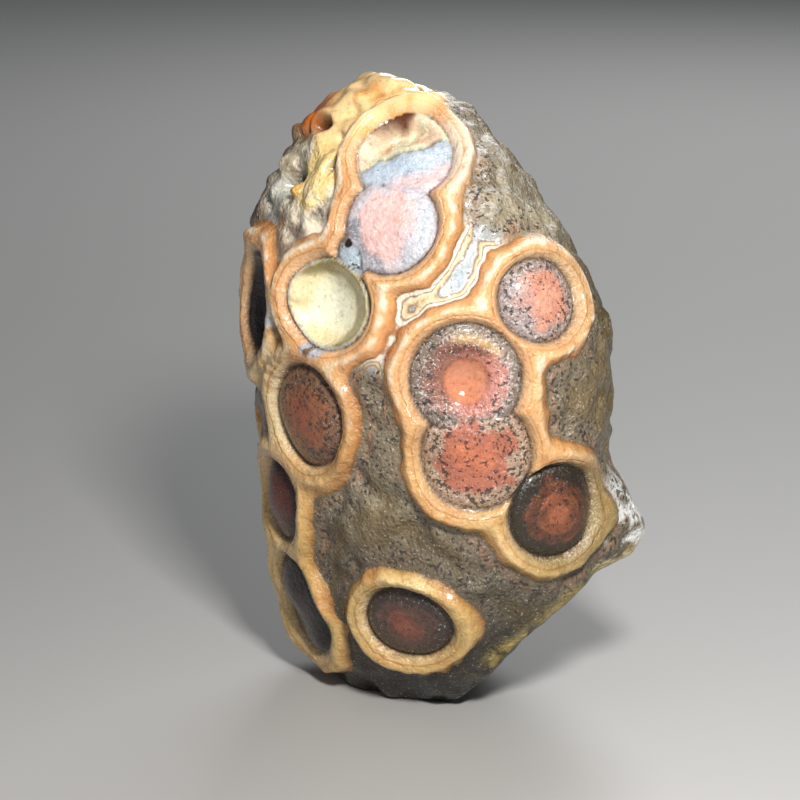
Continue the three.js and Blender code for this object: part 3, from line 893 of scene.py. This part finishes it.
RED_HOLLOW = PITS[1]
crust = near_spot(place, -62, 35.8, 4.6, 0.25) * smooth(33.0, 34.2, height)
crust = np.maximum(crust, near_spot(place, -5, 36.9, 4.0, 0.25))
crust_paint = mix(tint(255, 218, 156), tint(244, 176, 100), smooth(0.1, 1.0, patch))
crust_paint = mix(crust_paint, tint(196, 102, 30), near_spot(place, -88, 34.0, 3.6, 0.7))
# The red hollow is painted dark red-brown inside: partly its own colour, partly painted shade in
# the pit.
in_hollow = 1 - smooth(0.4, 1.0, reach_of(place, RED_HOLLOW))
crust_paint = mix(crust_paint, tint(96, 56, 34), in_hollow)
print("mean of the bands:", band_paint.mean(0).round(3))

# %% [markdown]
# ## Masks for the finish
# Flecks, grains, rings, thin dark lines and polish each lie only in some places. They
# could be textures, but a number for each point says where, and the material says how
# they look. So their detail stays finer than the mesh.

# %% Where flecks, grains and lines lie
inside = (gap < 0).astype(float)
margin = smooth(0.25, 0.75, ragged)
eye_flecks = by_eye("flecks") * (0.7 + 0.3 * margin) * (1 - in_dish)
eye_flecks = eye_flecks * (1 - 0.8 * ledge)
halo_flecks = 0.3 + 0.6 * smooth(1.05, 1.2, across) * (1 - smooth(1.7, 2.8, across))
halo_flecks = halo_flecks * (1 - 0.85 * np.maximum(cream_side, nook))
lace = near_spot(place, 1, 26.0, 4.4, 0.35, 1.6, 30) * (1 - inside)
eye_grains = by_eye("grains") * (0.2 + 0.8 * margin) * (1 - in_dish)
line = np.maximum(bell(gap / 0.09), inside * bell(border / 0.07))
line = line * (1 - 0.5 * is_eye("crown") - 0.75 * is_eye("cup"))
milky_crown = is_eye("crown") * smooth(0.1, -0.2, past)
PORE_AT = (-25, 28.5)

FIELDS = {
    "paint": mix(mix(matrix, crust_paint, crust), eye_paint, inside),
    "band_paint": mix(band_paint, crust_paint, crust),
    "across": across,
    "flecks": np.where(gap < 0, eye_flecks, halo_flecks * (1 - crust) * (1 - 0.5 * lace)),
    "grains": np.where(gap < 0, eye_grains, 0.5 * (1 - crust)),
    "rings": by_eye("rings") * inside,
    "share": share,
    "outline": line,
    "lace": lace,
    "layer": np.where(gap < 0, share * of_eyes("radius")[owner], gap),
    # how strong the painted crest highlight is: more on the upper bands
    "highlight_height": smooth(14, 27, height),
    "polish": np.maximum(in_dish, 0.5 * is_eye("cup") * (1 - collar)),
    "milk": np.maximum(is_eye("pink"), is_eye("bridge") + milky_crown),
    "pore": reach_from(place, *PORE_AT),
    "smooth_crust": crust,
    "bare": fields["free"] * (1 - crust) * (gap > 0),
}
for name, values in FIELDS.items():
    add_field(stone, name, values)
print("fields stored:", len(FIELDS))

# %% [markdown]
# ## The finish
# Agate is glassy where it is smooth and sugary where quartz crystals face the surface.
# Two materials could be given to eyes and bands, but their border would follow the faces.
# One material reads the stored fields instead: bands are drawn by the distance from the
# eyes, so their edges are crisp however coarse the mesh. Noise on Object coordinates adds
# what is finer than the mesh. First a small class keeps the node code short.


# %% Node helpers
class Finish:
    """A small builder of node trees: each method adds one node and returns its output."""

    def __init__(self, name):
        self.material = bpy.data.materials.new(name)
        self.material.use_nodes = True
        self.tree = self.material.node_tree
        self.shader = self.tree.nodes["Principled BSDF"]
        self.place = self.tree.nodes.new("ShaderNodeTexCoord").outputs["Object"]

    def node(self, kind, inputs=(), **settings):
        """A shader node with its settings and its inputs, as numbers or links."""
        made = self.tree.nodes.new("ShaderNode" + kind)
        for key, value in settings.items():
            setattr(made, key, value)
        for key, value in dict(inputs).items():
            self.put(made.inputs[key], value)
        return made

    def put(self, socket, value):
        """Links an output to a socket, or sets the socket's own value."""
        if isinstance(value, bpy.types.NodeSocket):
            self.tree.links.new(value, socket)
        elif isinstance(value, (tuple, list, np.ndarray)) and socket.type == "RGBA":
            socket.default_value = (*value, 1)
        else:
            socket.default_value = value

    def field(self, name, colour=False):
        """One of the mesh's stored fields."""
        made = self.node("Attribute", attribute_name=name)
        return made.outputs["Color" if colour else "Fac"]

    def math(self, operation, a, b=0.0, clamp=False):
        made = self.node("Math", {0: a, 1: b}, operation=operation, use_clamp=clamp)
        return made.outputs[0]

    def times(self, a, b):
        return self.math("MULTIPLY", a, b)

    def plus(self, a, b):
        return self.math("ADD", a, b)

    def minus(self, a, b):
        return self.math("SUBTRACT", a, b)

    def step(self, value, low, high):
        """0 below low, 1 above high, smooth between."""
        inputs = {"Value": value, "From Min": low, "From Max": high}
        return self.node("MapRange", inputs, interpolation_type="SMOOTHSTEP").outputs["Result"]

    def noise(self, size_mm, detail=3.0, roughness=0.55, seed=0.0):
        """Noise whose blobs are about size_mm across."""
        inputs = {"Vector": self.place, "W": seed, "Scale": 1 / (size_mm * MM)}
        inputs.update({"Detail": detail, "Roughness": roughness})
        return self.node("TexNoise", inputs, noise_dimensions="4D").outputs["Fac"]

    def cells(self, size_mm):
        """Distance from the nearest of many scattered points."""
        inputs = {"Vector": self.place, "Scale": 1 / (size_mm * MM)}
        return self.node("TexVoronoi", inputs).outputs["Distance"]

    def blend(self, a, b, share, mode="MIX"):
        """Colour a where share is 0, and where it is 1 colour b, or a times b."""
        made = self.node("Mix", data_type="RGBA", blend_type=mode)
        for socket, value in ((made.inputs[0], share), (made.inputs[6], a), (made.inputs[7], b)):
            self.put(socket, value)
        return made.outputs[2]

    def ramp(self, value, stops):
        """A colour ramp; each stop is a position and a colour or a grey."""
        made = self.node("ValToRGB", {"Fac": value})
        elements = made.color_ramp.elements
        while len(elements) < len(stops):
            elements.new(0.5)
        for element, (at, colour) in zip(elements, stops):
            element.position = at
            element.color = (*np.broadcast_to(colour, 3), 1)
        return made.outputs["Color"]

    def bump(self, height, distance_mm, strength=1.0, normal=None):
        """A normal tilted by a height from 0 to 1, on top of another normal."""
        inputs = {"Height": height, "Distance": distance_mm * MM, "Strength": strength}
        if normal is not None:
            inputs["Normal"] = normal
        return self.node("Bump", inputs).outputs["Normal"]


# %% [markdown]
# ### Bands
# Across a real band the colour goes from a dark line at the eye through cream to orange,
# with a thin dark line inside it. Loops of curve could draw that. A colour ramp over the
# place across the band does it for all bands at once, and noise makes it wander.

# %% Colour of the bands
BAND_WANDER = 0.16  # how far noise shifts the tones of a band, in band widths
agate = Finish("agate")
not_crust = agate.minus(1.0, agate.field("smooth_crust"))
across_field = agate.field("across")
wander = agate.minus(agate.noise(0.55, detail=4, seed=1), 0.5)
warped = agate.plus(across_field, agate.times(wander, BAND_WANDER))

# place across the band, and what its paint is multiplied by there
BAND_TONES = [
    (0.0, (0.25, 0.18, 0.14)),
    (0.05, (0.7, 0.68, 0.7)),
    (0.12, (1.0, 1.1, 1.3)),
    (0.27, (0.98, 1.02, 1.1)),
    (0.32, (0.82, 0.74, 0.68)),
    (0.38, (0.98, 0.97, 0.96)),
    (0.58, (1.1, 1.18, 1.32)),
    (0.7, (1.0, 0.97, 0.94)),
    (0.86, (0.86, 0.77, 0.68)),
    (1.0, (0.5, 0.39, 0.31)),
]
band_tone = agate.ramp(warped, BAND_TONES)
band_tone = agate.blend(band_tone, (1.0, 1.0, 1.0), agate.field("smooth_crust"))
band = agate.blend(agate.field("band_paint", True), band_tone, 1.0, "MULTIPLY")
blotch = agate.step(agate.noise(0.8, detail=5, seed=3), 0.5, 0.68)
band = agate.blend(band, (0.9, 0.62, 0.33), agate.times(blotch, 0.3))
stain = agate.step(agate.noise(0.4, detail=5, seed=4), 0.52, 0.64)
stain = agate.times(stain, not_crust)
band = agate.blend(band, (0.42, 0.2, 0.07), agate.times(stain, 0.4))
# Painted highlight: a pale streak along the broken crests, stronger up the stone where the lamp's
# glints fall; partly a paler crest line of the band itself.
crest = agate.ramp(warped, [(0.46, 0), (0.56, 1), (0.68, 1), (0.8, 0)])
broken_crest = agate.times(crest, agate.step(agate.noise(1.1, seed=21), 0.4, 0.58))
crest_highlight = agate.times(broken_crest, agate.field("highlight_height"))
band = agate.blend(band, (1.0, 0.88, 0.68), agate.times(crest_highlight, 0.85))
sugar = agate.step(agate.noise(0.13, detail=2, seed=23), 0.54, 0.62)
sugar = agate.times(sugar, agate.step(warped, 0.3, 0.1))
band = agate.blend(band, (0.92, 0.8, 0.66), agate.times(sugar, 0.6))
print("nodes for the bands:", len(agate.tree.nodes))

# %% [markdown]
# ### Eyes and matrix
# Some eyes have rings, all are mottled, and between the upper groups lies fine lace. The
# rings and the lace are ramps too, over the share of the radius and over the distance
# from the bands. The mottling is noise that multiplies the paint, so hues stay.

# %% Colour of the eyes and the matrix
RING_WANDER = 0.3  # in shares of the radius
RING_TONES = [
    (0.0, (1.0, 1.0, 1.0)),
    (0.17, (1.0, 1.0, 1.0)),
    (0.22, (0.4, 0.36, 0.36)),
    (0.34, (0.5, 0.45, 0.45)),
    (0.4, (1.25, 1.1, 1.0)),
    (0.47, (0.6, 0.5, 0.5)),
    (0.6, (0.55, 0.5, 0.5)),
    (0.66, (1.5, 1.15, 1.0)),
    (0.71, (0.6, 0.55, 0.55)),
    (1.0, (0.75, 0.75, 0.75)),
]
ring_place = agate.plus(agate.field("share"), agate.times(wander, RING_WANDER))
ring_tone = agate.ramp(ring_place, RING_TONES)
body = agate.blend(agate.field("paint", True), ring_tone, agate.field("rings"), "MULTIPLY")
milk_patch = agate.step(agate.noise(0.42, detail=5, roughness=0.7, seed=31), 0.49, 0.6)
milk_patch = agate.times(milk_patch, agate.field("milk"))
body = agate.blend(body, (0.84, 0.87, 0.9), agate.times(milk_patch, 0.35))
mottling = agate.noise(0.3, detail=5, roughness=0.7, seed=5)
pale = agate.times(agate.step(mottling, 0.5, 0.75), 0.6)
body = agate.blend(body, (1.5, 1.45, 1.4), pale, "MULTIPLY")
dark = agate.times(agate.step(mottling, 0.5, 0.3), 0.7)
body = agate.blend(body, (0.5, 0.46, 0.44), dark, "MULTIPLY")

LACE_START = 0.99  # place across the band
LACE_SPREAD = 0.6  # of a band's width
LACE_TONES = [
    (0.0, tint(128, 100, 80)),
    (0.07, tint(250, 242, 228)),
    (0.2, tint(244, 232, 212)),
    (0.27, tint(150, 118, 92)),
    (0.34, tint(250, 232, 198)),
    (0.46, tint(240, 206, 156)),
    (0.54, tint(150, 130, 118)),
    (0.64, tint(220, 226, 228)),
    (0.8, tint(188, 200, 208)),
    (1.0, tint(206, 222, 230)),
]
lace_place = agate.math("DIVIDE", agate.minus(warped, LACE_START), LACE_SPREAD)
lace_paint = agate.ramp(lace_place, LACE_TONES)
body = agate.blend(body, lace_paint, agate.field("lace"))
print("nodes with eyes and matrix:", len(agate.tree.nodes))

# %% [markdown]
# ### Flecks and grains
# Dark mineral flecks and pale quartz grains crowd along the layers of the stone. Small
# objects would be thousands of pieces. Noise above a limit gives the same specks, and the
# limit sinks where the stored field is high and in rows 0.62 mm apart.

# %% Flecks and grains
LAYER_SPACING = 0.62
ROW_WANDER = 14  # in radians of the wave that makes the rows
layer_turns = agate.times(agate.field("layer"), 2 * math.pi / LAYER_SPACING)
rows = agate.math("SINE", agate.plus(layer_turns, agate.times(wander, ROW_WANDER)))
rows = agate.plus(agate.times(rows, 0.12), 0.9)


def scattered(size_mm, seed, field, most=0.73, reach=0.23, edge=20.0):
    """Specks: noise above a limit that sinks as the field grows, more so in rows."""
    crowding = agate.times(agate.field(field), rows)
    limit = agate.minus(most, agate.times(crowding, reach))
    over = agate.minus(agate.noise(size_mm, 2, 0.65, seed), limit)
    return agate.math("MULTIPLY", over, edge, clamp=True)


grain_mask = scattered(0.16, 13, "grains", most=0.72, reach=0.2)
body = agate.blend(body, (0.8, 0.77, 0.76), agate.times(grain_mask, 0.6))
fleck_mask = scattered(0.24, 7, "flecks")
body = agate.blend(body, (0.03, 0.024, 0.024), agate.times(fleck_mask, 0.85))

band_start = agate.step(warped, 0.0, 0.04)
band_end = agate.step(warped, 1.06, 0.98)
band_mask = agate.times(band_start, band_end)
colour = agate.blend(body, band, band_mask)
outline = agate.times(agate.field("outline"), 0.8)
colour = agate.blend(colour, (0.03, 0.018, 0.014), outline)
# Painted shade: a near-black dot where a tiny pore lies, which the mesh does not carve.
pore = agate.step(agate.field("pore"), 0.34, 0.22)
colour = agate.blend(colour, (0.012, 0.01, 0.006), pore)
agate.put(agate.shader.inputs["Base Color"], colour)
print("nodes for the whole colour:", len(agate.tree.nodes))

# %% [markdown]
# ### Bumps and gloss
# Polished places mirror the lamp, and bands and matrix sparkle from many small faces.
# Real facets that small would need millions of triangles, so bumps stand for them: the
# profile of the bands, knobs of half a millimetre, fine grain and, on the matrix, cells.
# The fine grain also makes the roughness uneven, and a thin coat gives the wet look.

# %% Bumps and gloss
# place across the band, and height of the bump there
BAND_PROFILE = [
    (0.0, 0), (0.14, 0.8), (0.27, 0.9), (0.32, 0.3), (0.4, 0.9), (0.6, 1), (0.95, 0.7), (1.0, 0)
]
bumpy = agate.bump(agate.ramp(warped, BAND_PROFILE), 0.1, 0.6)
unpolished = agate.minus(1.0, agate.times(agate.field("polish"), 0.85))
knobs = agate.times(agate.noise(0.45, detail=4, seed=11), not_crust)
knobs = agate.times(knobs, unpolished)
bumpy = agate.bump(knobs, 0.22, 0.8, bumpy)
fine = agate.noise(0.16, detail=3, roughness=0.6, seed=9)
sugary = agate.times(not_crust, unpolished)
bumpy = agate.bump(agate.times(fine, sugary), 0.07, 0.9, bumpy)
facets = agate.times(agate.cells(0.25), agate.field("bare"))
bumpy = agate.bump(facets, 0.12, 0.6, bumpy)
agate.put(agate.shader.inputs["Normal"], bumpy)

SMOOTH_ROUGHNESS = 0.13
BARE_ROUGHNESS = 0.14  # added on the bare matrix
GRAIN_ROUGHNESS = 0.2  # added on the tops of the fine grain
dull = agate.times(agate.field("bare"), BARE_ROUGHNESS)
dull = agate.plus(dull, agate.times(agate.step(fine, 0.3, 0.7), GRAIN_ROUGHNESS))
dull = agate.plus(dull, SMOOTH_ROUGHNESS)
agate.put(agate.shader.inputs["Roughness"], agate.times(dull, unpolished))
agate.shader.inputs["IOR"].default_value = 1.54
agate.shader.inputs["Coat Weight"].default_value = 0.25
agate.shader.inputs["Coat Roughness"].default_value = 0.1
stone.data.materials.append(agate.material)
print("nodes in the finish:", len(agate.tree.nodes))

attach(stone, "root")
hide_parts(STONE)

# %% [markdown]
# ## Floor and light
# A pale floor and soft lamps, as in a small studio. A sky alone would light the stone,
# but flatly. The main lamp stands above the camera, nearly in front of the stone: the
# bright spot low in the dish and the shadow under the cup's upper right rim both show it.
# A wide one on the left fills the shadows, and one behind draws the outline.

# %% Studio
scene = bpy.context.scene
scene.view_settings.view_transform = "Standard"
world = bpy.data.worlds.new("studio")
world.use_nodes = True
sky = world.node_tree.nodes["Background"].inputs
sky["Color"].default_value = (0.9, 0.93, 1.0, 1)
sky["Strength"].default_value = 0.1
scene.world = world
LAMPS_AIM = (0, 0, 19)


def lamp(name, where, size_mm, watts, colour=(1, 1, 1)):
    """A square soft lamp that looks at the middle of the stone."""
    data = bpy.data.lights.new(name, "AREA")
    data.size = size_mm * MM
    data.energy = watts
    data.color = colour
    thing = bpy.data.objects.new(name, data)
    bpy.context.collection.objects.link(thing)
    aim_at(thing, where, LAMPS_AIM)


# name, place, size, watts, colour
lamp("key", (15, -92, 86), 18, 0.15, (1.0, 0.97, 0.93))
lamp("fill", (-220, -120, 90), 160, 0.03, (0.92, 0.95, 1.0))
lamp("rear", (60, 220, 160), 120, 0.25)

# %% Floor
FLOOR_SIZE = 1200.0
corners = np.array([[-1, -1, 0], [1, -1, 0], [1, 1, 0], [-1, 1, 0]]) * FLOOR_SIZE / 2
floor_piece = mesh_object("floor", corners, np.array([[0, 1, 2, 3]]))
floor_look = Finish("pale_floor")
floor_look.shader.inputs["Base Color"].default_value = (0.5, 0.5, 0.49, 1)
floor_look.shader.inputs["Roughness"].default_value = 0.5
floor_piece.data.materials.append(floor_look.material)
